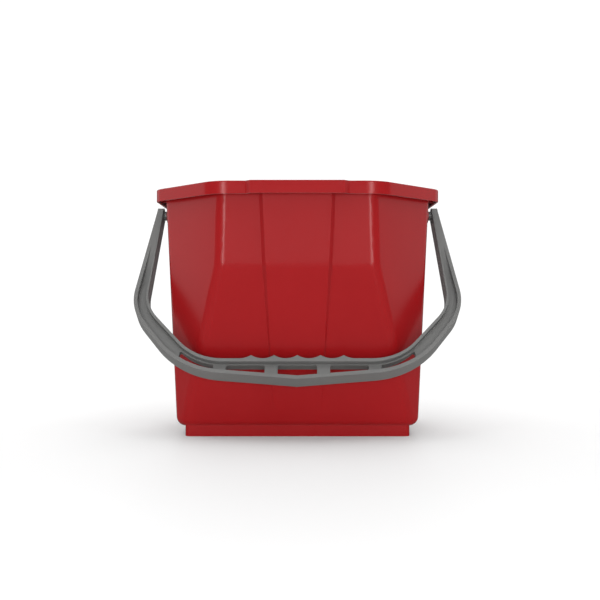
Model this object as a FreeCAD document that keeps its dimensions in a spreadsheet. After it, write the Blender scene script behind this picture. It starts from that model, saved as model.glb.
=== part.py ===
import FreeCAD, Part
import math
import os
import Sketcher

# Wash bucket: one moulded bucket with an eight-sided rim, and one moulded carrying handle that
# swings on two pins in the bucket's sides. Millimetres, +Z up, front at -Y, origin on the floor
# under the middle of the bucket. The handle is drawn flat, in its own plane, and then hung.

SIZES = [
    ("bucket_height", 281.0, "floor to the top of the rim"),
    ("rim_width", 324.0, "outside of the rim, side to side"),
    ("rim_depth", 278.0, "outside of the rim, front to back, beside the raised middle"),
    ("rim_corner_cut", 73.0, "how far each 45 degree corner is cut back"),
    ("rim_lip_height", 14.0, "height of the turned-down lip"),
    ("rim_top_thickness", 2.6, "flat top of the lip"),
    ("rim_skirt_thickness", 2.2, "outer wall of the lip"),
    ("rim_front_radius", 40.0, "upright corners of the lip next to the front"),
    ("rim_side_radius", 20.0, "upright corners of the lip next to the sides"),
    ("rim_edge_radius", 1.8, "top outer edge of the lip"),
    ("rim_panel_width", 100.0, "raised middle of the lip, across its front face"),
    ("rim_panel_rise", 5.2, "how far that middle stands forward, with 45 degree ends"),
    ("wall_thickness", 2.5, "walls of the bucket"),
    ("floor_thickness", 3.0, "floor of the bucket"),
    ("rim_side_overhang", 9.9, "from the lip in to the walls at rim height, at the sides"),
    ("rim_front_overhang", 9.5, "the same at front and back"),
    ("side_taper", 14.3, "how far each side comes in between rim height and floor"),
    ("wall_base_depth", 154.0, "front to back at the floor"),
    ("knee_inset", 4.5, "how far front and back come in between rim height and knee"),
    ("knee_height", 192.0, "floor to the knee where front and back turn inwards"),
    ("knee_radius", 40.0, "rounding of the knee"),
    ("corner_cut_top", 70.0, "45 degree corner of the walls at rim height"),
    ("corner_cut_base", 61.0, "the same at the floor, counted from the rim-height front"),
    ("wall_front_radius", 18.0, "upright edges next to the front"),
    ("wall_side_radius", 11.5, "upright edges next to the sides"),
    ("wall_base_radius", 10.5, "edge between walls and floor"),
    ("panel_top_width", 83.0, "raised middle of the front, at rim height"),
    ("panel_base_width", 60.0, "the same at the floor"),
    ("panel_rise", 4.0, "how far it stands forward, with 45 degree sides"),
    ("panel_base_rise", -0.5, "the same at the floor, so that it fades out just above"),
    ("foot_height", 11.0, "ring that the bucket stands on"),
    ("foot_side_inset", 10.2, "from the walls in to the ring, at the sides"),
    ("foot_front_inset", 2.5, "from the walls in to the ring, front and back"),
    ("foot_radius", 6.0, "corners of the ring"),
    ("foot_thickness", 3.0, "wall of the ring"),
    ("foot_rib_height", 6.0, "ribs under the floor"),
    ("foot_rib_spacing", 60.0, "distance between those ribs"),
    ("rib_thickness", 2.0, "ribs under the floor and behind the lip"),
    ("lip_rib_spacing", 36.0, "ribs in the side lips, from the pin outwards"),
    ("lip_rib_height", 9.0, "how far those ribs hang down"),
    ("pivot_drop", 24.0, "top of the rim down to the pin axis"),
    ("pin_radius", 5.5, "handle pin"),
    ("pin_clearance", 0.06, "gap all round the pin in its bore"),
    ("boss_radius", 8.7, "round boss outside the wall"),
    ("boss_gap", 4.2, "bare pin between the boss and the arm"),
    ("boss_web_thickness", 3.0, "rib from the boss up to the rim"),
    ("pin_head_radius", 7.2, "head inside the bucket that keeps the pin in"),
    ("pin_head_tip_radius", 4.5, "narrow end of that head"),
    ("pin_head_length", 5.0, "length of that head"),
    ("pin_head_gap", 0.8, "gap between the head and the wall"),
    ("rest_gap", 0.4, "gap between the hanging handle and the front it leans on"),
    ("handle_thickness", 19.0, "handle, square to its own plane"),
    ("grip_flange", 3.8, "inside edge of the handle's I section, at the grip"),
    ("arm_flange", 2.2, "the same on the arms"),
    ("outer_flange", 4.2, "outside edge of the I section"),
    ("web_thickness", 5.6, "web of the I section"),
    ("rim_gap", 1.0, "gap between the rim and an arm that swings past it"),
    ("arm_thickness", 7.0, "arm at the pin axis, side to side"),
    ("arm_inner_splay", 3.3, "outward lean of the inside face, degrees"),
    ("arm_outer_splay", 7.6, "outward lean of the outside face, degrees"),
    ("elbow_inner_radius", 50.0, "inside of the elbow"),
    ("elbow_outer_radius", 62.0, "outside of the elbow"),
    ("brace_inner_angle", 48.5, "inside face between elbow and grip, degrees from level"),
    ("brace_outer_angle", 52.0, "outside face between elbow and grip, degrees from level"),
    ("brace_inner_reach", 94.7, "top of an arm's inside to that inside face, square to it"),
    ("brace_outer_reach", 105.5, "the same to that outside face"),
    ("grip_inner_radius", 64.0, "inside bend into the grip"),
    ("grip_outer_radius", 100.0, "outside bend into the grip"),
    ("grip_inner_drop", 202.2, "pin axis to the inside of the grip"),
    ("grip_outer_drop", 227.2, "pin axis to the lowest point of the grip"),
    ("grip_outer_angle", 5.0, "rise of the grip's outside either way from the middle, degrees"),
    ("recess_top", 52.0, "pin axis to where the recess in an arm starts"),
    ("recess_full", 98.0, "pin axis to where the recess is down to the web"),
    ("finger_pitch", 25.2, "distance between finger ridges"),
    ("finger_rise", 4.0, "height of the ridges"),
    ("window_margin", 5.2, "from the handle's outline in to a window"),
    ("window_bridge", 14.0, "web left between two windows"),
    ("window_middle_width", 43.0, "middle window"),
    ("window_side_width", 42.0, "windows beside it"),
    ("window_end_width", 37.8, "outermost windows"),
    ("window_radius", 1.8, "corners of the windows"),
]

doc = FreeCAD.newDocument("WashBucket")
sheet = doc.addObject("Spreadsheet::Sheet", "Sizes")
for row, (alias, value, meaning) in enumerate(SIZES, start=1):
    sheet.set(f"A{row}", alias)
    sheet.set(f"B{row}", str(value))
    sheet.set(f"C{row}", meaning)
    sheet.setAlias(f"B{row}", alias)
doc.recompute()


class Size:
    """A number together with the spreadsheet expression that gives it."""

    def __init__(self, value, text):
        self.value = float(value)
        self.text = text

    def join(self, other, sign, value):
        other_text = other.text if isinstance(other, Size) else str(other)
        return Size(value, f"({self.text} {sign} {other_text})")

    def __add__(self, other):
        return self.join(other, "+", self.value + number(other))

    def __sub__(self, other):
        return self.join(other, "-", self.value - number(other))

    def __mul__(self, other):
        return self.join(other, "*", self.value * number(other))

    def __truediv__(self, other):
        return self.join(other, "/", self.value / number(other))

    def __neg__(self):
        return Size(-self.value, f"(-1 * {self.text})")


def number(size):
    """The plain value of a Size or of a number."""
    return size.value if isinstance(size, Size) else float(size)


def cell(alias):
    """The Size of one cell of the sheet."""
    return Size(sheet.get(alias), f"Sizes.{alias}")


def trig(name, angle):
    """sin, cos or tan of an angle in degrees."""
    return Size(getattr(math, name)(math.radians(angle.value)), f"{name}({angle.text})")


def angle_of(name, ratio):
    """asin or atan of a ratio, in degrees."""
    return Size(math.degrees(getattr(math, name)(ratio.value)), f"({name}({ratio.text}) / 1 deg)")


def bind(thing, prop, size):
    """Set a property and keep it bound to its expression."""
    if isinstance(size, Size):
        thing.setExpression(prop, size.text)
    else:
        setattr(thing, prop, size)


# ---------------------------------------------------------------- sketch and feature helpers


def new_body(label):
    body = doc.addObject("PartDesign::Body", label)
    body.Label = label
    return body


def plane(body, role):
    return next(item for item in body.Origin.OriginFeatures if item.Role == role)


def new_sketch(body, label, role, offset=0.0):
    """An empty sketch on one of the body's own planes, moved along that plane's normal."""
    sketch = body.newObject("Sketcher::SketchObject", label)
    sketch.AttachmentSupport = (plane(body, role), "")
    sketch.MapMode = "FlatFace"
    if isinstance(offset, Size):
        sketch.setExpression("AttachmentOffset.Base.z", offset.text)
    else:
        sketch.AttachmentOffset.Base.z = offset
    return sketch


def dimension(sketch, kind, *terms):
    """Add a dimension; its last term is the Size that it is bound to."""
    size = terms[-1]
    value = number(size)
    datum = math.radians(value) if kind == "Angle" else value
    index = sketch.addConstraint(Sketcher.Constraint(kind, *terms[:-1], datum))
    if isinstance(size, Size):
        sketch.setExpression(f"Constraints[{index}]", size.text)


def pin_point(sketch, item, end, x, y):
    """Hold one end of an item at x, y from the sketch origin."""
    for kind, axis, size in (("DistanceX", -2, x), ("DistanceY", -1, y)):
        value = number(size)
        if abs(value) < 1e-9:
            sketch.addConstraint(Sketcher.Constraint("PointOnObject", item, end, axis))
        elif value > 0:
            dimension(sketch, kind, -1, 1, item, end, size)
        else:
            flipped = -size if isinstance(size, Size) else -value
            dimension(sketch, kind, item, end, -1, 1, flipped)


def polygon(sketch, corners):
    """A closed outline of straight lines through corners held at x, y."""
    points = [FreeCAD.Vector(number(x), number(y), 0) for x, y in corners]
    count = len(points)
    first = sketch.GeometryCount
    for index, point in enumerate(points):
        sketch.addGeometry(Part.LineSegment(point, points[(index + 1) % count]))
    for index in range(count):
        after = first + (index + 1) % count
        sketch.addConstraint(Sketcher.Constraint("Coincident", first + index, 2, after, 1))
    for index, (x, y) in enumerate(corners):
        pin_point(sketch, first + index, 1, x, y)


def circle(sketch, x, y, radius):
    centre = FreeCAD.Vector(number(x), number(y), 0)
    item = sketch.addGeometry(Part.Circle(centre, FreeCAD.Vector(0, 0, 1), number(radius)))
    pin_point(sketch, item, 3, x, y)
    dimension(sketch, "Radius", item, radius)


def pad(body, sketch, label, length, symmetric=False, reverse=False):
    feature = body.newObject("PartDesign::Pad", label)
    feature.Profile = sketch
    feature.Reversed = reverse
    feature.SideType = "Symmetric" if symmetric else "One side"
    bind(feature, "Length", length)
    return feature


def pocket(body, sketch, label, length=None, reverse=False):
    """Cut a sketch out of the body, right through both ways where no length is given."""
    feature = body.newObject("PartDesign::Pocket", label)
    feature.Profile = sketch
    feature.Reversed = reverse
    if length is None:
        feature.SideType = "Symmetric"
        feature.Type = "ThroughAll"
    else:
        feature.SideType = "One side"
        bind(feature, "Length", length)
    return feature


def mirrored(body, originals, role, label):
    feature = body.newObject("PartDesign::Mirrored", label)
    feature.Originals = originals
    feature.MirrorPlane = (plane(body, role), [""])
    body.Tip = feature
    return feature


def fillet(body, base, label, radius, wanted):
    """Round the edges of base that the test picks."""
    doc.recompute()
    names = [f"Edge{n}" for n, edge in enumerate(base.Shape.Edges, 1) if wanted(edge)]
    feature = body.newObject("PartDesign::Fillet", label)
    feature.Base = (base, names)
    bind(feature, "Radius", radius)
    body.Tip = feature
    return feature


def chamfer(body, base, label, size, wanted):
    """Bevel the edges of base that the test picks, at 45 degrees."""
    doc.recompute()
    names = [f"Edge{n}" for n, edge in enumerate(base.Shape.Edges, 1) if wanted(edge)]
    feature = body.newObject("PartDesign::Chamfer", label)
    feature.Base = (base, names)
    bind(feature, "Size", size)
    body.Tip = feature
    return feature


def join(label, pieces):
    feature = doc.addObject("Part::MultiFuse", label)
    feature.Shapes = pieces
    feature.Refine = True
    return feature


def cut(label, base, tool):
    feature = doc.addObject("Part::Cut", label)
    feature.Base = base
    feature.Tool = tool
    feature.Refine = True
    return feature


def mirror_copy(label, source, normal):
    feature = doc.addObject("Part::Mirroring", label)
    feature.Source = source
    feature.Normal = normal
    return feature


def box(label, low, high):
    """A Part::Box between two corners given as Sizes."""
    feature = doc.addObject("Part::Box", label)
    for axis, prop, low_size, high_size in zip("xyz", ("Length", "Width", "Height"), low, high):
        bind(feature, prop, high_size - low_size)
        feature.setExpression(f"Placement.Base.{axis}", low_size.text)
    return feature


def rod(label, radius, start, end, height):
    """A Part::Cylinder along X between two reaches, at a height."""
    feature = doc.addObject("Part::Cylinder", label)
    bind(feature, "Radius", radius)
    bind(feature, "Height", end - start)
    feature.Placement.Rotation = FreeCAD.Rotation(FreeCAD.Vector(0, 1, 0), 90)
    feature.setExpression("Placement.Base.x", start.text)
    feature.setExpression("Placement.Base.z", height.text)
    return feature


def octagon(half_width, half_depth, corner_cut):
    """Corners of a rectangle with its four corners cut off at 45 degrees."""
    inner_width = half_width - corner_cut
    inner_depth = half_depth - corner_cut
    return [
        (half_width, -inner_depth), (half_width, inner_depth),
        (inner_width, half_depth), (-inner_width, half_depth),
        (-half_width, inner_depth), (-half_width, -inner_depth),
        (-inner_width, -half_depth), (inner_width, -half_depth),
    ]


def rises(edge):
    """True for an edge that climbs, and so isn't one of the level ones."""
    return edge.BoundBox.ZLength > 1.0


def level_at(z):
    """A test for edges that lie level at height z."""
    return lambda edge: max(abs(edge.BoundBox.ZMin - z), abs(edge.BoundBox.ZMax - z)) < 0.01


height = cell("bucket_height")
wall = cell("wall_thickness")
wall_top_width = cell("rim_width") - cell("rim_side_overhang") * 2
wall_base_width = wall_top_width - cell("side_taper") * 2
wall_top_depth = cell("rim_depth") - cell("rim_front_overhang") * 2
wall_knee_depth = wall_top_depth - cell("knee_inset") * 2
CORNER_SHARE = 2.0 - math.sqrt(2.0)  # how much less a 45 degree corner is cut on an inset octagon

# ------------------------------------------------------------------------- walls of the bucket


def wall_form(label, inset, bottom):
    """The bucket's walls as a solid block, moved inwards by inset and starting at bottom."""
    body = new_body(label)
    base = cell("foot_height")
    share = (bottom - base) / (height - base)
    top_half = wall_top_width / 2 - inset
    base_half = wall_base_width / 2 - inset
    depth_half = wall_top_depth / 2 - inset
    top_cut = cell("corner_cut_top") - inset * CORNER_SHARE
    base_cut = cell("corner_cut_base") - inset * CORNER_SHARE
    lower = new_sketch(body, f"{label}_lower", "XY_Plane", bottom)
    lower_half = base_half + (top_half - base_half) * share
    polygon(lower, octagon(lower_half, depth_half, base_cut + (top_cut - base_cut) * share))
    upper = new_sketch(body, f"{label}_upper", "XY_Plane", height)
    polygon(upper, octagon(top_half, depth_half, top_cut))
    loft = body.newObject("PartDesign::AdditiveLoft", f"{label}_loft")
    loft.Profile = lower
    loft.Sections = [upper]
    loft.Ruled = True
    knee_half = wall_knee_depth / 2 - inset
    floor_half = cell("wall_base_depth") / 2 - inset
    outside = wall_top_depth
    profile = new_sketch(body, f"{label}_front", "YZ_Plane")
    polygon(profile, [
        (-depth_half, height), (-knee_half, cell("knee_height")), (-floor_half, base),
        (-floor_half, base / 2), (-outside, base / 2), (-outside, height),
    ])
    front = pocket(body, profile, f"{label}_front_cut")
    both = mirrored(body, [front], "XZ_Plane", f"{label}_back_cut")
    rounding = cell("knee_radius") - inset
    knee = fillet(body, both, f"{label}_knee", rounding, level_at(cell("knee_height").value))
    corner = top_half.value - cell("wall_side_radius").value

    def next_to_front(edge):
        return rises(edge) and abs(edge.BoundBox.Center.x) < corner

    def next_to_side(edge):
        return rises(edge) and abs(edge.BoundBox.Center.x) > corner

    front_radius = cell("wall_front_radius") - inset
    fronts = fillet(body, knee, f"{label}_front_corners", front_radius, next_to_front)
    side_radius = cell("wall_side_radius") - inset
    sides = fillet(body, fronts, f"{label}_side_corners", side_radius, next_to_side)
    floor_radius = cell("wall_base_radius") - inset
    fillet(body, sides, f"{label}_floor_edge", floor_radius, level_at(bottom.value))
    return body


def panel_form(label, inset):
    """The raised middle of the front wall as a block, moved inwards by inset."""
    body = new_body(label)
    base = cell("foot_height")
    rise = cell("panel_rise")
    knee_height = cell("knee_height")
    # the bevel takes the sides of the block in to the width that the front face shows
    top_half = cell("panel_top_width") / 2 - inset
    base_half = cell("panel_base_width") / 2 - inset
    start = base + cell("wall_base_radius")
    share = (start - base) / (height - base)
    start_half = base_half + (top_half - base_half) * share
    outline = new_sketch(body, f"{label}_outline", "XZ_Plane")
    polygon(outline, [(start_half, start), (top_half, height), (-top_half, height), (-start_half, start)])
    block = pad(body, outline, f"{label}_block", wall_top_depth / 2 + rise * 2)
    floor_front = cell("wall_base_depth") / 2 + cell("panel_base_rise") - inset
    knee_front = wall_knee_depth / 2 + rise - inset
    top_front = wall_top_depth / 2 + rise - inset
    outside = wall_top_depth
    profile = new_sketch(body, f"{label}_profile", "YZ_Plane")
    polygon(profile, [
        (-top_front, height), (-knee_front, knee_height), (-floor_front, base),
        (-outside, base), (-outside, height),
    ])
    front = pocket(body, profile, f"{label}_front_cut")
    rounding = cell("knee_radius") - inset
    knee = fillet(body, front, f"{label}_knee", rounding, level_at(knee_height.value))
    back_edges = -cell("wall_base_depth").value / 4

    def along_front(edge):
        return rises(edge) and edge.BoundBox.YMax < back_edges

    chamfer(body, knee, f"{label}_bevel", rise, along_front)
    return body


def walls(label, inset, bottom):
    """Walls with the raised middle on front and back."""
    form = wall_form(f"{label}_walls", inset, bottom)
    front = panel_form(f"{label}_front_panel", inset)
    back = mirror_copy(f"{label}_back_panel", front, (0, 1, 0))
    return join(label, [form, front, back])


outside = walls("outside", wall * 0, cell("foot_height"))
hollow = walls("hollow", wall, cell("foot_height") + cell("floor_thickness"))

# --------------------------------------------------------------------------------- rim and foot


def lip_block(label, inset, low, high):
    """The lip's outline as a block from low to high, moved inwards by inset."""
    body = new_body(label)
    half_width = cell("rim_width") / 2 - inset
    half_depth = cell("rim_depth") / 2 - inset
    corner_cut = cell("rim_corner_cut") - inset * CORNER_SHARE
    rise = cell("rim_panel_rise")
    outline = new_sketch(body, f"{label}_outline", "XY_Plane", low)
    polygon(outline, octagon(half_width, half_depth, corner_cut))
    ring = pad(body, outline, f"{label}_ring", high - low)
    # the raised middle keeps its 45 degree ends parallel as the outline moves in
    panel_half = cell("rim_panel_width") / 2 - inset * (math.sqrt(2.0) - 1.0)
    front = -half_depth - rise
    middle = new_sketch(body, f"{label}_panel", "XY_Plane", low)
    polygon(middle, [
        (-panel_half, front), (panel_half, front),
        (panel_half + rise * 2, front + rise * 2), (-panel_half - rise * 2, front + rise * 2),
    ])
    panel = pad(body, middle, f"{label}_middle", high - low)
    both = mirrored(body, [panel], "XZ_Plane", f"{label}_both_middles")
    doc.recompute()
    side = half_width.value - corner_cut.value / 2
    panel_limit = panel_half.value + rise.value * 2

    def next_to_side(edge):
        return rises(edge) and abs(edge.BoundBox.Center.x) > side

    def next_to_front(edge):
        return rises(edge) and panel_limit < abs(edge.BoundBox.Center.x) < side

    side_radius = cell("rim_side_radius") - inset
    sides = fillet(body, both, f"{label}_side_corners", side_radius, next_to_side)
    front_radius = cell("rim_front_radius") - inset
    return body, fillet(body, sides, f"{label}_front_corners", front_radius, next_to_front)


def rounded_block(label, half_width, half_depth, low, high, radius):
    """A block standing on low, with its four upright edges rounded."""
    body = new_body(label)
    outline = new_sketch(body, f"{label}_outline", "XY_Plane", low)
    polygon(outline, [
        (half_width, half_depth), (-half_width, half_depth),
        (-half_width, -half_depth), (half_width, -half_depth),
    ])
    block = pad(body, outline, f"{label}_block", high - low)
    fillet(body, block, f"{label}_corners", radius, rises)
    return body


lip_bottom = height - cell("rim_lip_height")
lip_outside, lip_solid = lip_block("lip_outside", wall * 0, lip_bottom, height)
fillet(lip_outside, lip_solid, "lip_top_edge", cell("rim_edge_radius"), level_at(height.value))
channel_top = height - cell("rim_top_thickness")
lip_channel, _ = lip_block("lip_channel", cell("rim_skirt_thickness"), lip_bottom, channel_top)
lip = cut("lip", lip_outside, lip_channel)

# ribs in the side channels, from the wall out to the skirt, either side of each pin
skirt_inside = cell("rim_width") / 2 - cell("rim_skirt_thickness") / 2
rib_inside = wall_top_width / 2 - wall / 2
rib_half = cell("rib_thickness") / 2
lip_ribs = []
for step in (-1, 0, 1):
    middle = cell("lip_rib_spacing") * step
    low = (rib_inside, middle - rib_half, channel_top - cell("lip_rib_height"))
    high = (skirt_inside, middle + rib_half, height - cell("rim_top_thickness") / 2)
    right = box(f"lip_rib_{step + 2}", low, high)
    lip_ribs += [right, mirror_copy(f"lip_rib_left_{step + 2}", right, (1, 0, 0))]

foot_half_width = wall_base_width / 2 - cell("foot_side_inset")
foot_half_depth = cell("wall_base_depth") / 2 - cell("foot_front_inset")
foot_top = cell("foot_height") + cell("floor_thickness") / 2
ring_top = cell("foot_height") + cell("wall_base_radius") / 2
ground = wall * 0
ring = cell("foot_thickness")
foot_radius = cell("foot_radius")
foot_block = rounded_block("foot_block", foot_half_width, foot_half_depth, ground, ring_top, foot_radius)
foot_hollow = rounded_block(
    "foot_hollow", foot_half_width - ring, foot_half_depth - ring, ground, ring_top, foot_radius - ring
)
foot = cut("foot", foot_block, foot_hollow)

rib_bottom = cell("foot_height") - cell("foot_rib_height")
foot_ribs = []
for step in (-1, 0, 1):
    middle = cell("foot_rib_spacing") * step
    low = (middle - rib_half, ring / 2 - foot_half_depth, rib_bottom)
    foot_ribs.append(box(f"foot_rib_{step + 2}", low, (middle + rib_half, foot_half_depth - ring / 2, foot_top)))
long_low = (ring / 2 - foot_half_width, -rib_half, rib_bottom)
foot_ribs.append(box("foot_rib_long", long_low, (foot_half_width - ring / 2, rib_half, foot_top)))

# ---------------------------------------------------------------------------- pin bores and bucket

pivot_height = height - cell("pivot_drop")
pin_radius = cell("pin_radius")
boss_start = wall_base_width / 2
arm_inside = cell("rim_width") / 2 + cell("rim_gap")
boss_end = arm_inside - cell("boss_gap")
boss = rod("boss_right", cell("boss_radius"), boss_start, boss_end, pivot_height)
# a web from the boss up to the lip's flat top
boss_web_half = cell("boss_web_thickness") / 2
boss_web_low = (rib_inside, -boss_web_half, pivot_height)
boss_web_high = (boss_end, boss_web_half, height - cell("rim_top_thickness") / 2)
boss_web = box("boss_web_right", boss_web_low, boss_web_high)
bosses = [boss, boss_web]
bosses += [mirror_copy("boss_left", boss, (1, 0, 0)), mirror_copy("boss_web_left", boss_web, (1, 0, 0))]
bore_radius = pin_radius + cell("pin_clearance")
bores = rod("bores", bore_radius, -boss_end - wall, boss_end + wall, pivot_height)

skin = join("bucket_skin", [outside, lip, foot] + lip_ribs + foot_ribs + bosses)
open_bucket = cut("open_bucket", skin, hollow)
bucket = cut("bucket_body", open_bucket, bores)
bucket.Label = "bucket_body"

# --------------------------------------------------------------------------------------- handle
# Drawn with the pins on the X axis, the grip down at -Y and the thickness along Z, as a right half
# that is then mirrored.

nothing = wall * 0
half_thickness = cell("handle_thickness") / 2
arm_outside = arm_inside + cell("arm_thickness")


def tangent_chain(sketch, lines, radii, top):
    """Lines joined by tangent arcs, from the middle plane out and up to y = top.

    Each line is its direction in degrees and its distance from the middle of the pin axis.
    """
    corners = []
    for (turn_a, reach_a), (turn_b, reach_b) in zip(lines, lines[1:]):
        sin_a, cos_a = trig("sin", turn_a).value, trig("cos", turn_a).value
        sin_b, cos_b = trig("sin", turn_b).value, trig("cos", turn_b).value
        spread = sin_b * cos_a - sin_a * cos_b
        x = (reach_b.value * cos_a - reach_a.value * cos_b) / spread
        y = (sin_a * reach_b.value - sin_b * reach_a.value) / spread
        corners.append(FreeCAD.Vector(x, y, 0))
    first_turn, first_reach = lines[0]
    start = FreeCAD.Vector(0, -first_reach.value / trig("cos", first_turn).value, 0)
    last_turn, last_reach = lines[-1]
    end_x = (last_reach.value + number(top) * trig("cos", last_turn).value) / trig("sin", last_turn).value
    end = FreeCAD.Vector(end_x, number(top), 0)

    first = sketch.GeometryCount
    here = start
    for index, (turn, _) in enumerate(lines):
        if index == len(radii):
            sketch.addGeometry(Part.LineSegment(here, end))
            break
        next_turn = lines[index + 1][0]
        radius = radii[index].value
        setback = radius * math.tan(math.radians(next_turn.value - turn.value) / 2)
        along = FreeCAD.Vector(trig("cos", turn).value, trig("sin", turn).value, 0)
        arc_start = corners[index] - along * setback
        sketch.addGeometry(Part.LineSegment(here, arc_start))
        centre = arc_start + FreeCAD.Vector(-along.y, along.x, 0) * radius
        ring = Part.Circle(centre, FreeCAD.Vector(0, 0, 1), radius)
        from_angle = math.radians(turn.value - 90)
        to_angle = math.radians(next_turn.value - 90)
        sketch.addGeometry(Part.ArcOfCircle(ring, from_angle, to_angle))
        beyond = FreeCAD.Vector(trig("cos", next_turn).value, trig("sin", next_turn).value, 0)
        here = corners[index] + beyond * setback

    last = first + 2 * len(radii)
    for item in range(first, last):
        sketch.addConstraint(Sketcher.Constraint("Tangent", item, 2, item + 1, 1))
    for index, (turn, reach) in enumerate(lines):
        dimension(sketch, "Angle", first + 2 * index, turn)
        dimension(sketch, "Distance", -1, 1, first + 2 * index, reach)
    for index, radius in enumerate(radii):
        dimension(sketch, "Radius", first + 2 * index + 1, radius)
    sketch.addConstraint(Sketcher.Constraint("PointOnObject", first, 1, -2))
    if abs(number(top)) < 1e-9:
        sketch.addConstraint(Sketcher.Constraint("PointOnObject", last, 2, -1))
    else:
        dimension(sketch, "DistanceY", last, 2, -1, 1, -top)
    return first, last, start, end


def inner_side(grip_inset, arm_inset):
    """The handle's inside outline moved inwards: its lines, and the bends between them."""
    splay = cell("arm_inner_splay")
    brace = cell("brace_inner_angle")
    reach = arm_inside * trig("sin", brace) + cell("brace_inner_reach")
    lines = [
        (nothing, cell("grip_inner_drop") + grip_inset),
        (brace, reach + (grip_inset + arm_inset) / 2),
        (splay + 90, arm_inside * trig("cos", splay) + arm_inset),
    ]
    return lines, [cell("grip_inner_radius") + grip_inset, cell("elbow_inner_radius") + arm_inset]


def outer_side(inset):
    """The same for the outside outline, by one inset."""
    splay = cell("arm_outer_splay")
    rise = cell("grip_outer_angle")
    brace = cell("brace_outer_angle")
    reach = arm_inside * trig("sin", brace) + cell("brace_outer_reach")
    lines = [
        (rise, cell("grip_outer_drop") * trig("cos", rise) - inset),
        (brace, reach - inset),
        (splay + 90, arm_outside * trig("cos", splay) - inset),
    ]
    return lines, [cell("grip_outer_radius") - inset, cell("elbow_outer_radius") - inset]


def between(sketch, near, far, top):
    """The closed outline between two sides, from the middle plane up to y = top."""
    near_first, near_last, near_start, near_end = tangent_chain(sketch, *near, top)
    far_first, far_last, far_start, far_end = tangent_chain(sketch, *far, top)
    across_top = sketch.addGeometry(Part.LineSegment(near_end, far_end))
    down_middle = sketch.addGeometry(Part.LineSegment(far_start, near_start))
    for item, end, other, other_end in (
        (near_last, 2, across_top, 1), (across_top, 2, far_last, 2),
        (far_first, 1, down_middle, 1), (down_middle, 2, near_first, 1),
    ):
        sketch.addConstraint(Sketcher.Constraint("Coincident", item, end, other, other_end))


handle_body = new_body("handle_blank")
outline = new_sketch(handle_body, "handle_outline", "XY_Plane")
between(outline, inner_side(nothing, nothing), outer_side(nothing), nothing)
features = [pad(handle_body, outline, "handle_half", cell("handle_thickness"), symmetric=True)]

# recesses in both faces leave the web
half_web = cell("web_thickness") / 2
recess_top = -cell("recess_top")
flanges = (inner_side(cell("grip_flange"), cell("arm_flange")), outer_side(cell("outer_flange")))
for side, sign in (("front", 1), ("back", -1)):
    recess = new_sketch(handle_body, f"recess_{side}", "XY_Plane", half_thickness * sign)
    between(recess, *flanges, recess_top)
    depth = half_thickness - half_web
    features.append(pocket(handle_body, recess, f"recess_{side}_cut", depth, reverse=sign < 0))

# finger ridges: a straight strip with a round hollow cut between each pair of ridges
pitch = cell("finger_pitch")
ridge = cell("finger_rise")
inner_y = -cell("grip_inner_drop")
strip = new_sketch(handle_body, "finger_strip", "XY_Plane")
strip_low = inner_y - cell("grip_flange") / 2
polygon(strip, [
    (nothing, strip_low), (pitch * 2.5, strip_low), (pitch * 2.5, inner_y + ridge), (nothing, inner_y + ridge),
])
features.append(pad(handle_body, strip, "finger_ridges", cell("handle_thickness"), symmetric=True))
hollow_radius = (pitch * pitch / 4 + ridge * ridge) / (ridge * 2)
for count in range(3):
    finger = new_sketch(handle_body, f"finger_{count + 1}", "XY_Plane")
    circle(finger, pitch * (count + 0.5), inner_y + hollow_radius, hollow_radius)
    features.append(pocket(handle_body, finger, f"finger_hollow_{count + 1}"))

# round eye on the pin axis, and the pin with its head inside the bucket
eye = new_sketch(handle_body, "eye", "YZ_Plane", arm_inside)
circle(eye, nothing, nothing, half_thickness)
features.append(pad(handle_body, eye, "eye_disc", cell("arm_thickness")))
base_half = wall_base_width / 2
climb = (pivot_height - cell("foot_height")) / (height - cell("foot_height"))
wall_at_pin = base_half + (wall_top_width / 2 - base_half) * climb
head_outer = wall_at_pin - wall - cell("pin_head_gap")
head_tip = head_outer - cell("pin_head_length")
pin_root = (arm_inside + arm_outside) / 2
pin = new_sketch(handle_body, "pin_profile", "XY_Plane")
polygon(pin, [
    (head_tip, nothing), (pin_root, nothing), (pin_root, pin_radius), (head_outer, pin_radius),
    (head_outer, cell("pin_head_radius")), (head_tip, cell("pin_head_tip_radius")),
])
turned = handle_body.newObject("PartDesign::Revolution", "pin")
turned.Profile = pin
turned.ReferenceAxis = (pin, ["H_Axis"])
turned.Angle = 360
features.append(turned)
mirrored(handle_body, features, "YZ_Plane", "both_halves")

# ramps that bring the floor of each recess up to the face at its top end
ramp_band = new_body("ramp_band")
ramp_outline = new_sketch(ramp_band, "ramp_outline", "XY_Plane")
between(ramp_outline, *flanges, recess_top)
pad(ramp_band, ramp_outline, "ramp_band_pad", cell("handle_thickness"), symmetric=True)
ramps = []
for side, sign in (("front", 1), ("back", -1)):
    wedge_body = new_body(f"wedge_{side}")
    wedge = new_sketch(wedge_body, f"wedge_{side}_profile", "YZ_Plane")
    polygon(wedge, [
        (recess_top, half_thickness * sign), (recess_top, half_web * sign),
        (-cell("recess_full"), half_web * sign),
    ])
    pad(wedge_body, wedge, f"wedge_{side}_pad", cell("rim_width"))
    ramp = doc.addObject("Part::Common", f"ramp_right_{side}")
    ramp.Base = ramp_band
    ramp.Tool = wedge_body
    ramps += [ramp, mirror_copy(f"ramp_left_{side}", ramp, (1, 0, 0))]
ramped = join("handle_with_ramps", [handle_body] + ramps)

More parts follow.
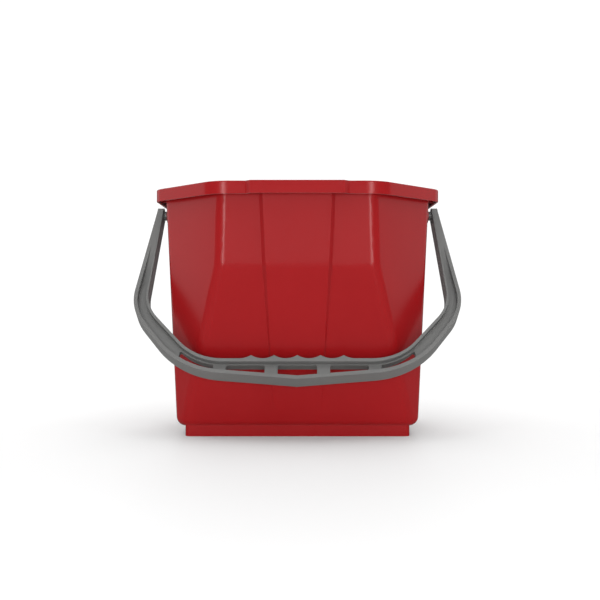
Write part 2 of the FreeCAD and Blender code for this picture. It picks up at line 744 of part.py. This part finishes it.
# windows through the web, which follow the outline and are cut to length by the bridges
windows = new_body("windows")
band = new_sketch(windows, "window_outline", "XY_Plane")
margin = cell("window_margin")
between(band, inner_side(margin, margin), outer_side(margin), recess_top)
half_window = pad(windows, band, "window_half", cell("handle_thickness"), symmetric=True)
middle_half = cell("window_middle_width") / 2
side_start = middle_half + cell("window_bridge")
side_end = side_start + cell("window_side_width")
end_start = side_end + cell("window_bridge")
end_end = end_start + cell("window_end_width")
low = -cell("grip_outer_drop")
bridges = [half_window]
for name, start, end in (
    ("bridge_inner", middle_half, side_start), ("bridge_outer", side_end, end_start),
    ("beyond_windows", end_end, arm_outside * 2),
):
    gap = new_sketch(windows, name, "XY_Plane")
    polygon(gap, [(start, low), (end, low), (end, recess_top), (start, recess_top)])
    bridges.append(pocket(windows, gap, f"{name}_cut"))
window_whole = mirrored(windows, bridges, "YZ_Plane", "window_whole")


def upright(edge):
    return edge.BoundBox.ZLength > half_thickness.value


fillet(windows, window_whole, "window_corners", cell("window_radius"), upright)

handle = cut("handle", ramped, windows)
handle.Label = "handle"

# it hangs forward until the finger ridges are one rest gap from the raised middle of the front
knee_front = wall_knee_depth / 2 + cell("panel_rise")
floor_front = cell("wall_base_depth") / 2 + cell("panel_base_rise")
knee_height = cell("knee_height")
front_lean = angle_of("atan", (knee_front - floor_front) / (knee_height - cell("foot_height")))
front_reach = knee_front * trig("cos", front_lean) + (pivot_height - knee_height) * trig("sin", front_lean)
crest_drop = cell("grip_inner_drop") - cell("finger_rise")
crest_angle = angle_of("atan", half_thickness / crest_drop)
crest_share = (front_reach + cell("rest_gap")) * trig("cos", crest_angle) / crest_drop
hang_angle = angle_of("asin", crest_share) + crest_angle - front_lean
handle.Placement.Rotation = FreeCAD.Rotation(FreeCAD.Vector(1, 0, 0), 1)
handle.setExpression("Placement.Rotation.Angle", (-hang_angle + 90).text)
handle.setExpression("Placement.Base.z", pivot_height.text)
print("handle hangs", round(hang_angle.value, 3), "degrees forward of straight down")

# ------------------------------------------------------------------------------- check and write

doc.recompute()
for thing in doc.Objects:
    if "Invalid" in thing.State or "Error" in thing.State:
        raise RuntimeError(f"{thing.Label} did not build")
os.makedirs("parts", exist_ok=True)
for part in (bucket, handle):
    if part.Shape.isNull() or not part.Shape.isValid():
        raise RuntimeError(f"{part.Label} has no valid shape")
    part.Shape.exportStep(f"parts/{part.Label}.step")
    print(part.Label, len(part.Shape.Solids), "solid", round(part.Shape.Volume), "cubic mm")
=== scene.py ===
# %% [markdown]
# # A wash bucket with a swinging handle
# The real bucket is two plastic mouldings: a red tub with an eight-sided rim, and a grey handle
# that snaps into its sides. Their solids come from the CAD frame at real size, in metres, with the
# floor at z = 0 and the front towards -Y. This lesson turns them into finished pieces: soft
# moulded edges, smooth shading, a satin plastic for each, a pale studio, soft light and a camera.

# %% Load the frame
import math

import bpy
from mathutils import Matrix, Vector


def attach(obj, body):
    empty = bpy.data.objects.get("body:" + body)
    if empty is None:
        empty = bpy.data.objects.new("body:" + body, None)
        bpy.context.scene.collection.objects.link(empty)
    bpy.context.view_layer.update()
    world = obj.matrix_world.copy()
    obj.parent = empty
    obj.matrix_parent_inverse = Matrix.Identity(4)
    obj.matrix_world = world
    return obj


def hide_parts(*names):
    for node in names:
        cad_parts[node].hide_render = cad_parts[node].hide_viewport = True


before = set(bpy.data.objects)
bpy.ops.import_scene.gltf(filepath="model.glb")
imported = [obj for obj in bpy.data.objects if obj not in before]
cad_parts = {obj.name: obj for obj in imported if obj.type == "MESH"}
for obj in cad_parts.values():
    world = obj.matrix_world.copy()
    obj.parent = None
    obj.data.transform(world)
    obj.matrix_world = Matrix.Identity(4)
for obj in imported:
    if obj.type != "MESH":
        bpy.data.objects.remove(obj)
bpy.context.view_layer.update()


bpy.ops.object.select_all(action="DESELECT")

# %% [markdown]
# ## Camera
# A product shot looks level at the bucket from about a metre away. A 50 mm lens on a 36 mm wide
# sensor keeps the sides nearly parallel. A longer lens from further off would look flatter, and
# a wide one would swell the middle, so the plain 50 mm is the right choice. The camera stands
# just over half way up the bucket, so that the rim hides the inside.

# %% Place the camera
CAMERA_DISTANCE = 1.019
CAMERA_HEIGHT = 0.1545
CAMERA_SIDE = 0.0029

bpy.ops.object.camera_add(
    location=(CAMERA_SIDE, -CAMERA_DISTANCE, CAMERA_HEIGHT),
    rotation=(math.radians(90.0), 0.0, 0.0),
)
camera = bpy.context.object
camera.name = "studio_camera"
camera.data.lens = 50.0
camera.data.sensor_width = 36.0
camera.data.clip_end = 200.0
bpy.context.scene.camera = camera
print("camera at", tuple(round(value, 4) for value in camera.location))

# %% [markdown]
# ## Soft edges
# A moulded edge is never razor sharp: the cutter that makes the mould leaves it a little under a
# millimetre round, and that round catches a thin line of light. The frame's meshes are loose
# triangles with sharp edges. One way to soften them is a shader that fakes round edges, but then
# the shape itself stays sharp. A better way is to copy the mesh, weld its triangles, dissolve the
# flat ones into whole faces, and bevel the edges that turn by more than a set angle. Weighted
# normals then keep the flat faces flat, so that only the narrow bevels carry the highlight.

# %% A helper that copies a CAD node and welds it
WELD_DISTANCE = 0.000002
FLAT_WITHIN = math.radians(0.6)


def welded_copy(node_name, piece_name):
    """A copy of a CAD node as one welded mesh with whole flat faces."""
    bpy.ops.object.select_all(action="DESELECT")
    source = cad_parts[node_name]
    source.select_set(True)
    bpy.context.view_layer.objects.active = source
    bpy.ops.object.duplicate()
    piece = bpy.context.object
    piece.parent = None
    piece.name = piece_name
    piece.data.name = piece_name
    for key in list(piece.keys()):
        del piece[key]
    bpy.ops.object.mode_set(mode="EDIT")
    bpy.ops.mesh.select_all(action="SELECT")
    bpy.ops.mesh.customdata_custom_splitnormals_clear()
    bpy.ops.mesh.remove_doubles(threshold=WELD_DISTANCE)
    bpy.ops.mesh.dissolve_limited(angle_limit=FLAT_WITHIN, delimit={"NORMAL"})
    bpy.ops.object.mode_set(mode="OBJECT")
    print(piece_name, "welded to", len(piece.data.polygons), "faces")
    return piece


# %% A helper that rounds the edges and sets the shading
SHARP_FROM = math.radians(28.0)
SMOOTH_UP_TO = math.radians(35.0)


def soften_edges(piece, width, segments):
    """Bevel the sharp edges, shade the curves smooth and keep the flat faces flat."""
    bpy.context.view_layer.objects.active = piece
    bevel = piece.modifiers.new("moulded_edges", "BEVEL")
    bevel.width = width
    bevel.segments = segments
    bevel.limit_method = "ANGLE"
    bevel.angle_limit = SHARP_FROM
    bevel.miter_outer = "MITER_ARC"
    bevel.use_clamp_overlap = True
    bpy.ops.object.modifier_apply(modifier=bevel.name)
    bpy.ops.object.shade_smooth_by_angle(angle=SMOOTH_UP_TO)
    weights = piece.modifiers.new("flat_faces_first", "WEIGHTED_NORMAL")
    weights.keep_sharp = True
    bpy.ops.object.modifier_apply(modifier=weights.name)
    piece.select_set(False)
    print(piece.name, "softened:", len(piece.data.polygons), "faces")


# %% [markdown]
# ## The two mouldings
# The tub has gentle rounds already where walls meet, so it needs only a fine bevel on the rim, the
# raised middle, the foot and the ribs. The handle is a stiff I section that a hand closes on. Its
# bevel is as wide, with one more step so that its many edges look round from close by.

# %% Make the tub and the handle
MOULDED_EDGE = 0.0008

tub = welded_copy("bucket_body", "tub")
soften_edges(tub, MOULDED_EDGE, segments=2)
carry_handle = welded_copy("handle", "carry_handle")
soften_edges(carry_handle, MOULDED_EDGE, segments=3)

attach(tub, "bucket")
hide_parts("bucket_body")
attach(carry_handle, "handle")
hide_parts("handle")

# %% [markdown]
# ## Shared surface effects
# Both mouldings are polypropylene from a spark-textured mould, so both need the same three
# effects at different strengths: a fine grain, a slow drift of colour from the pigment, and
# hairline scuffs. Each could be painted on an image, but an image stretches and has one
# resolution. Node groups on object coordinates keep their real size on any piece, so each effect
# is one group with its own inputs.

# %% Small helpers for building node groups
# a Mix node keeps one pair of sockets for numbers and another for colours, under the same names
NUMBER_A, NUMBER_B = 2, 3
COLOUR_A, COLOUR_B, COLOUR_OUT = 6, 7, 2


def new_group(name, inputs, outputs):
    """A shader group with float, vector or colour sockets; returns it with its two end nodes."""
    kinds = {"float": "NodeSocketFloat", "vector": "NodeSocketVector", "colour": "NodeSocketColor"}
    group = bpy.data.node_groups.new(name, "ShaderNodeTree")
    for label, kind, default in inputs:
        socket = group.interface.new_socket(name=label, in_out="INPUT", socket_type=kinds[kind])
        if default is not None:
            socket.default_value = default
    for label, kind in outputs:
        group.interface.new_socket(name=label, in_out="OUTPUT", socket_type=kinds[kind])
    entry = group.nodes.new("NodeGroupInput")
    entry.location = (-900, 0)
    leave = group.nodes.new("NodeGroupOutput")
    leave.location = (700, 0)
    return group, entry, leave


def add_node(tree, kind, place, **settings):
    """A node of a kind at a place, with its plain settings."""
    node = tree.nodes.new(kind)
    node.location = place
    for name, value in settings.items():
        setattr(node, name, value)
    return node


def noise_of_size(group, entry, size_label, place, position=None):
    """A noise whose blobs have the size given by one of the group's inputs, in metres."""
    across, up = place
    scale = add_node(group, "ShaderNodeMath", (across - 200, up), operation="DIVIDE")
    scale.inputs[0].default_value = 1.0
    group.links.new(entry.outputs[size_label], scale.inputs[1])
    noise = add_node(group, "ShaderNodeTexNoise", place)
    group.links.new(position or entry.outputs["Position"], noise.inputs["Vector"])
    group.links.new(scale.outputs[0], noise.inputs["Scale"])
    return noise


# %% [markdown]
# ### Moulded grain
# Spark erosion leaves the mould with fine pits about half a millimetre apart, and the plastic
# shrinks a little unevenly as it cools, which gives a slow waviness over centimetres. Two noises
# at those two sizes, added as heights, drive one bump.

# %% Build the grain group
grain_group, entry, leave = new_group(
    "moulded_grain",
    [("Position", "vector", None), ("Fine Size", "float", 0.0005), ("Fine Depth", "float", 0.00001),
     ("Wave Size", "float", 0.03), ("Wave Depth", "float", 0.00005)],
    [("Height", "float"), ("Pits", "float")],
)
links = grain_group.links
fine = noise_of_size(grain_group, entry, "Fine Size", (-500, 200))
fine.inputs["Detail"].default_value = 2.0
fine.inputs["Roughness"].default_value = 0.6
wave = noise_of_size(grain_group, entry, "Wave Size", (-500, -200))
wave.inputs["Detail"].default_value = 1.0
fine_height = add_node(grain_group, "ShaderNodeMath", (-200, 200), operation="MULTIPLY")
links.new(fine.outputs[0], fine_height.inputs[0])
links.new(entry.outputs["Fine Depth"], fine_height.inputs[1])
wave_height = add_node(grain_group, "ShaderNodeMath", (-200, -200), operation="MULTIPLY")
links.new(wave.outputs[0], wave_height.inputs[0])
links.new(entry.outputs["Wave Depth"], wave_height.inputs[1])
total_height = add_node(grain_group, "ShaderNodeMath", (100, 0), operation="ADD")
links.new(fine_height.outputs[0], total_height.inputs[0])
links.new(wave_height.outputs[0], total_height.inputs[1])
links.new(total_height.outputs[0], leave.inputs["Height"])
links.new(fine.outputs[0], leave.inputs["Pits"])
print("group", grain_group.name, "with", len(grain_group.nodes), "nodes")

# %% [markdown]
# ### Pigment drift
# Coloured granules never mix perfectly, so a moulding is a few percent lighter in some places
# than in others, in soft clouds a hand wide. The group tints a base colour both ways with one
# slow noise.

# %% Build the pigment group
pigment_group, entry, leave = new_group(
    "pigment_drift",
    [("Position", "vector", None), ("Light", "colour", None), ("Dark", "colour", None),
     ("Cloud Size", "float", 0.08)],
    [("Colour", "colour"), ("Cloud", "float")],
)
links = pigment_group.links
cloud = noise_of_size(pigment_group, entry, "Cloud Size", (-500, 0))
cloud.inputs["Detail"].default_value = 3.0
spread = add_node(pigment_group, "ShaderNodeMapRange", (-250, 0))
spread.inputs["From Min"].default_value = 0.3
spread.inputs["From Max"].default_value = 0.7
links.new(cloud.outputs[0], spread.inputs["Value"])
blend = add_node(pigment_group, "ShaderNodeMix", (100, 0), data_type="RGBA")
links.new(spread.outputs[0], blend.inputs["Factor"])
links.new(entry.outputs["Dark"], blend.inputs[COLOUR_A])
links.new(entry.outputs["Light"], blend.inputs[COLOUR_B])
links.new(blend.outputs[COLOUR_OUT], leave.inputs["Colour"])
links.new(spread.outputs[0], leave.inputs["Cloud"])
print("group", pigment_group.name, "with", len(pigment_group.nodes), "nodes")

# %% [markdown]
# ### Hairline scuffs
# Stacking and packing leave short, fine scratches that show only as a change of gloss and a
# slightly paler colour. A noise stretched twenty times along one direction gives streaks; a
# narrow band of its values keeps only thin lines; and a second slow noise lets them come and go.

# %% Build the scuff group
scuff_group, entry, leave = new_group(
    "hairline_scuffs",
    [("Position", "vector", None), ("Streak Size", "float", 0.002), ("Patch Size", "float", 0.05),
     ("Amount", "float", 0.3)],
    [("Mask", "float")],
)
links = scuff_group.links
stretch = add_node(scuff_group, "ShaderNodeMapping", (-700, 250))
stretch.inputs["Rotation"].default_value = (0.3, 0.5, 0.9)
stretch.inputs["Scale"].default_value = (1.0, 0.05, 1.0)
links.new(entry.outputs["Position"], stretch.inputs["Vector"])
streak = noise_of_size(scuff_group, entry, "Streak Size", (-450, 250), stretch.outputs[0])
streak.inputs["Detail"].default_value = 1.0
offset = add_node(scuff_group, "ShaderNodeMath", (-250, 250), operation="SUBTRACT")
offset.inputs[1].default_value = 0.5
links.new(streak.outputs[0], offset.inputs[0])
distance = add_node(scuff_group, "ShaderNodeMath", (-100, 250), operation="ABSOLUTE")
links.new(offset.outputs[0], distance.inputs[0])
line = add_node(scuff_group, "ShaderNodeMapRange", (50, 250))
line.inputs["From Min"].default_value = 0.0
line.inputs["From Max"].default_value = 0.012
line.inputs["To Min"].default_value = 1.0
line.inputs["To Max"].default_value = 0.0
links.new(distance.outputs[0], line.inputs["Value"])
patch = noise_of_size(scuff_group, entry, "Patch Size", (-450, -250))
patch_band = add_node(scuff_group, "ShaderNodeMapRange", (-200, -250))
patch_band.inputs["From Min"].default_value = 0.52
patch_band.inputs["From Max"].default_value = 0.68
links.new(patch.outputs[0], patch_band.inputs["Value"])
both = add_node(scuff_group, "ShaderNodeMath", (250, 0), operation="MULTIPLY")
links.new(line.outputs[0], both.inputs[0])
links.new(patch_band.outputs[0], both.inputs[1])
scaled = add_node(scuff_group, "ShaderNodeMath", (450, 0), operation="MULTIPLY")
links.new(both.outputs[0], scaled.inputs[0])
links.new(entry.outputs["Amount"], scaled.inputs[1])
links.new(scaled.outputs[0], leave.inputs["Mask"])
print("group", scuff_group.name, "with", len(scuff_group.nodes), "nodes")

# %% [markdown]
# ## Satin polypropylene
# Both plastics are the same recipe: a pigmented base that drifts, a few paler scuffs, a satin
# roughness that the pits vary a little, and the grain as bump. Only colours and strengths
# differ, so one function builds the recipe and each moulding gets its own material from it. A
# strong red also stains the white floor and shows in the grey handle, which a studio shot has
# toned down, so bounce says how far the colour goes grey for bounced and mirrored rays.

# %% A function that builds a satin plastic
BOUNCED_GREY = (0.24, 0.24, 0.24, 1.0)
GLOSS_SPREAD = 0.04
SCUFF_DULLING = 0.2


def satin_plastic(
    name, light, dark, scuffed, roughness, specular, bounce, grain_depth, wave_depth, scuffs,
):
    material = bpy.data.materials.new(name)
    material.use_nodes = True
    tree = material.node_tree
    shader = tree.nodes["Principled BSDF"]
    shader.location = (700, 0)
    tree.nodes["Material Output"].location = (1000, 0)
    place = add_node(tree, "ShaderNodeTexCoord", (-900, 0))

    pigment = add_node(tree, "ShaderNodeGroup", (-600, 300), node_tree=pigment_group)
    pigment.inputs["Light"].default_value = (*light, 1.0)
    pigment.inputs["Dark"].default_value = (*dark, 1.0)
    scuff = add_node(tree, "ShaderNodeGroup", (-600, 0), node_tree=scuff_group)
    scuff.inputs["Amount"].default_value = scuffs
    grain = add_node(tree, "ShaderNodeGroup", (-600, -300), node_tree=grain_group)
    grain.inputs["Fine Depth"].default_value = grain_depth
    grain.inputs["Wave Depth"].default_value = wave_depth
    for effect in (pigment, scuff, grain):
        tree.links.new(place.outputs["Object"], effect.inputs["Position"])

    tint = add_node(tree, "ShaderNodeMix", (100, 300), data_type="RGBA")
    tree.links.new(scuff.outputs["Mask"], tint.inputs["Factor"])
    tree.links.new(pigment.outputs["Colour"], tint.inputs[COLOUR_A])
    tint.inputs[COLOUR_B].default_value = (*scuffed, 1.0)
    ray = add_node(tree, "ShaderNodeLightPath", (100, 600))
    calm = add_node(tree, "ShaderNodeMath", (300, 600), operation="MULTIPLY")
    calm.inputs[1].default_value = bounce
    later = add_node(tree, "ShaderNodeMath", (100, 450), operation="MAXIMUM")
    tree.links.new(ray.outputs["Is Diffuse Ray"], later.inputs[0])
    tree.links.new(ray.outputs["Is Glossy Ray"], later.inputs[1])
    tree.links.new(later.outputs[0], calm.inputs[0])
    neutral = add_node(tree, "ShaderNodeMix", (450, 300), data_type="RGBA")
    neutral.inputs[COLOUR_B].default_value = BOUNCED_GREY
    tree.links.new(calm.outputs[0], neutral.inputs["Factor"])
    tree.links.new(tint.outputs[COLOUR_OUT], neutral.inputs[COLOUR_A])
    tree.links.new(neutral.outputs[COLOUR_OUT], shader.inputs["Base Color"])

    gloss = add_node(tree, "ShaderNodeMapRange", (-100, 0))
    gloss.inputs["To Min"].default_value = roughness - GLOSS_SPREAD
    gloss.inputs["To Max"].default_value = roughness + GLOSS_SPREAD
    tree.links.new(grain.outputs["Pits"], gloss.inputs["Value"])
    dull = add_node(tree, "ShaderNodeMath", (200, 0), operation="MULTIPLY_ADD")
    dull.inputs[1].default_value = SCUFF_DULLING
    tree.links.new(scuff.outputs["Mask"], dull.inputs[0])
    tree.links.new(gloss.outputs[0], dull.inputs[2])
    tree.links.new(dull.outputs[0], shader.inputs["Roughness"])

    bump = add_node(tree, "ShaderNodeBump", (300, -300))
    bump.inputs["Distance"].default_value = 1.0
    tree.links.new(grain.outputs["Height"], bump.inputs["Height"])
    tree.links.new(bump.outputs["Normal"], shader.inputs["Normal"])
    shader.inputs["IOR"].default_value = 1.49
    shader.inputs["Specular IOR Level"].default_value = specular
    return material


# %% Dress both mouldings
def dress(piece, material):
    piece.data.materials.clear()
    piece.data.materials.append(material)
    print(piece.name, "wears", material.name)


red_plastic = satin_plastic(
    "red_polypropylene",
    light=(0.292, 0.0062, 0.0080), dark=(0.276, 0.0052, 0.0068), scuffed=(0.39, 0.030, 0.032),
    roughness=0.22, specular=0.27, bounce=0.75, grain_depth=0.000006, wave_depth=0.00004, scuffs=0.25,
)
grey_plastic = satin_plastic(
    "grey_polypropylene",
    light=(0.146, 0.146, 0.142), dark=(0.130, 0.130, 0.127), scuffed=(0.22, 0.22, 0.215),
    roughness=0.36, specular=0.45, bounce=0.0, grain_depth=0.000010, wave_depth=0.00002, scuffs=0.35,
)
dress(tub, red_plastic)
dress(carry_handle, grey_plastic)

# %% [markdown]
# ## Studio
# The bucket stands on a white floor in a white room, as in a catalogue picture: the background
# burns out to pure white and only a soft shadow ties the bucket to the floor. A paper
# sweep with a curved back would do the same, but it shows its edge from other sides. A round
# white floor that fades out into a white world looks right from everywhere.

# %% Lay the floor
FLOOR_SIZE = 8.0
FLOOR_SOLID_TO = 0.75
FLOOR_GONE_AT = 1.9
FLOOR_WHITE = (0.95, 0.95, 0.95, 1.0)
FLOOR_IN_MIRRORS = (0.26, 0.26, 0.26, 1.0)

bpy.ops.mesh.primitive_plane_add(size=FLOOR_SIZE, location=(0.0, 0.0, 0.0))
floor = bpy.context.object
floor.name = "studio_floor"
floor_paint = bpy.data.materials.new("white_floor")
floor_paint.use_nodes = True
floor_tree = floor_paint.node_tree
floor_shader = floor_tree.nodes["Principled BSDF"]
floor_shader.inputs["Base Color"].default_value = FLOOR_WHITE
floor_shader.inputs["Roughness"].default_value = 0.5
floor_shader.inputs["Specular IOR Level"].default_value = 0.15

# %% [markdown]
# A glossy red bucket would mirror the bright floor and lose its colour. A studio lays dark
# cards just out of sight for that. Here the floor turns dark for mirror rays only.

# %% Darken the floor in reflections, and fade it out
flag = add_node(floor_tree, "ShaderNodeBsdfDiffuse", (0, -300))
flag.inputs["Color"].default_value = FLOOR_IN_MIRRORS
ray = add_node(floor_tree, "ShaderNodeLightPath", (-300, 300))
seen = add_node(floor_tree, "ShaderNodeMixShader", (300, 0))
floor_tree.links.new(ray.outputs["Is Glossy Ray"], seen.inputs[0])
floor_tree.links.new(floor_shader.outputs[0], seen.inputs[1])
floor_tree.links.new(flag.outputs[0], seen.inputs[2])
floor_place = add_node(floor_tree, "ShaderNodeTexCoord", (-700, -500))
from_middle = add_node(floor_tree, "ShaderNodeVectorMath", (-500, -500), operation="LENGTH")
floor_tree.links.new(floor_place.outputs["Object"], from_middle.inputs[0])
fade = add_node(floor_tree, "ShaderNodeMapRange", (-300, -500), interpolation_type="SMOOTHSTEP")
fade.inputs["From Min"].default_value = FLOOR_SOLID_TO
fade.inputs["From Max"].default_value = FLOOR_GONE_AT
floor_tree.links.new(from_middle.outputs["Value"], fade.inputs["Value"])
nothing_there = add_node(floor_tree, "ShaderNodeBsdfTransparent", (0, -500))
faded = add_node(floor_tree, "ShaderNodeMixShader", (500, 0))
floor_tree.links.new(fade.outputs[0], faded.inputs[0])
floor_tree.links.new(seen.outputs[0], faded.inputs[1])
floor_tree.links.new(nothing_there.outputs[0], faded.inputs[2])
floor_tree.links.new(faded.outputs[0], floor_tree.nodes["Material Output"].inputs["Surface"])
floor.data.materials.append(floor_paint)
floor.select_set(False)
print("floor", FLOOR_SIZE, "m square, fading out at", FLOOR_GONE_AT, "m")

# %% [markdown]
# ## Light
# The walls of the room are white to the eye, give an even soft light, and are dim in
# reflections, so that the plastic keeps its depth. Softboxes then do the modelling. Two narrow
# strips at the front only show as reflections: they draw a thin line down each rounded upright
# edge. A broad low one, which doesn't show in reflections, fills the front down to the foot. Two
# beside the bucket lift its slanted corners, one high at the back edges the rim, and one
# overhead whitens the floor.

# %% Light the room
ROOM_SEEN = 1.08
ROOM_LIGHT = 0.66
ROOM_REFLECTED = 0.22

world = bpy.data.worlds.new("white_room")
bpy.context.scene.world = world
world.use_nodes = True
room_tree = world.node_tree
sky = room_tree.nodes["Background"]
sky.inputs["Color"].default_value = (1.0, 1.0, 1.0, 1.0)
ray = add_node(room_tree, "ShaderNodeLightPath", (-900, 200))
for_mirror = add_node(room_tree, "ShaderNodeMix", (-500, 100), data_type="FLOAT")
for_mirror.inputs[NUMBER_A].default_value = ROOM_LIGHT
for_mirror.inputs[NUMBER_B].default_value = ROOM_REFLECTED
room_tree.links.new(ray.outputs["Is Glossy Ray"], for_mirror.inputs[0])
for_eye = add_node(room_tree, "ShaderNodeMix", (-250, 100), data_type="FLOAT")
for_eye.inputs[NUMBER_B].default_value = ROOM_SEEN
room_tree.links.new(ray.outputs["Is Camera Ray"], for_eye.inputs[0])
room_tree.links.new(for_mirror.outputs[0], for_eye.inputs[NUMBER_A])
room_tree.links.new(for_eye.outputs[0], sky.inputs["Strength"])


AIM = Vector((0.0, 0.0, 0.16))


def softbox(name, degrees, distance, height, width, tall, radiance):
    """A rectangular light, turned to face the bucket and hidden from the camera.

    Degrees count from the front towards the right, and distance is level, from the middle.
    """
    turn = math.radians(degrees)
    place = Vector((math.sin(turn) * distance, -math.cos(turn) * distance, height))
    bpy.ops.object.light_add(type="AREA", location=place)
    box = bpy.context.object
    box.name = name
    box.rotation_euler = (AIM - place).to_track_quat("-Z", "Y").to_euler()
    box.data.shape = "RECTANGLE"
    box.data.size = width
    box.data.size_y = tall
    box.data.energy = radiance * math.pi * width * tall
    box.visible_camera = False
    box.select_set(False)
    print(name, round(box.data.energy, 2), "W")
    return box


left_strip = softbox("left_strip", -23.0, 1.3, 0.46, width=0.20, tall=1.0, radiance=8.5)
right_strip = softbox("right_strip", 23.0, 1.3, 0.46, width=0.20, tall=1.0, radiance=8.5)
front_fill = softbox("front_fill", 0.0, 1.5, 0.20, width=2.0, tall=0.36, radiance=5.6)
softbox("left_softbox", -108.0, 1.4, 0.62, width=1.1, tall=1.2, radiance=0.85)
softbox("right_softbox", 108.0, 1.4, 0.62, width=1.1, tall=1.2, radiance=0.65)
softbox("back_softbox", 180.0, 1.7, 1.25, width=2.4, tall=0.8, radiance=2.4)
softbox("top_softbox", 0.0, 0.35, 1.9, width=2.0, tall=1.6, radiance=1.1)
left_strip.visible_diffuse = False
right_strip.visible_diffuse = False
front_fill.visible_glossy = False

# %% [markdown]
# ## Picture settings
# The standard view transform shows white as white. The film-like one greys it, which suits an
# outdoor scene but not a white room.

# %% Set the view
bpy.context.scene.view_settings.view_transform = "Standard"
bpy.context.scene.view_settings.look = "None"
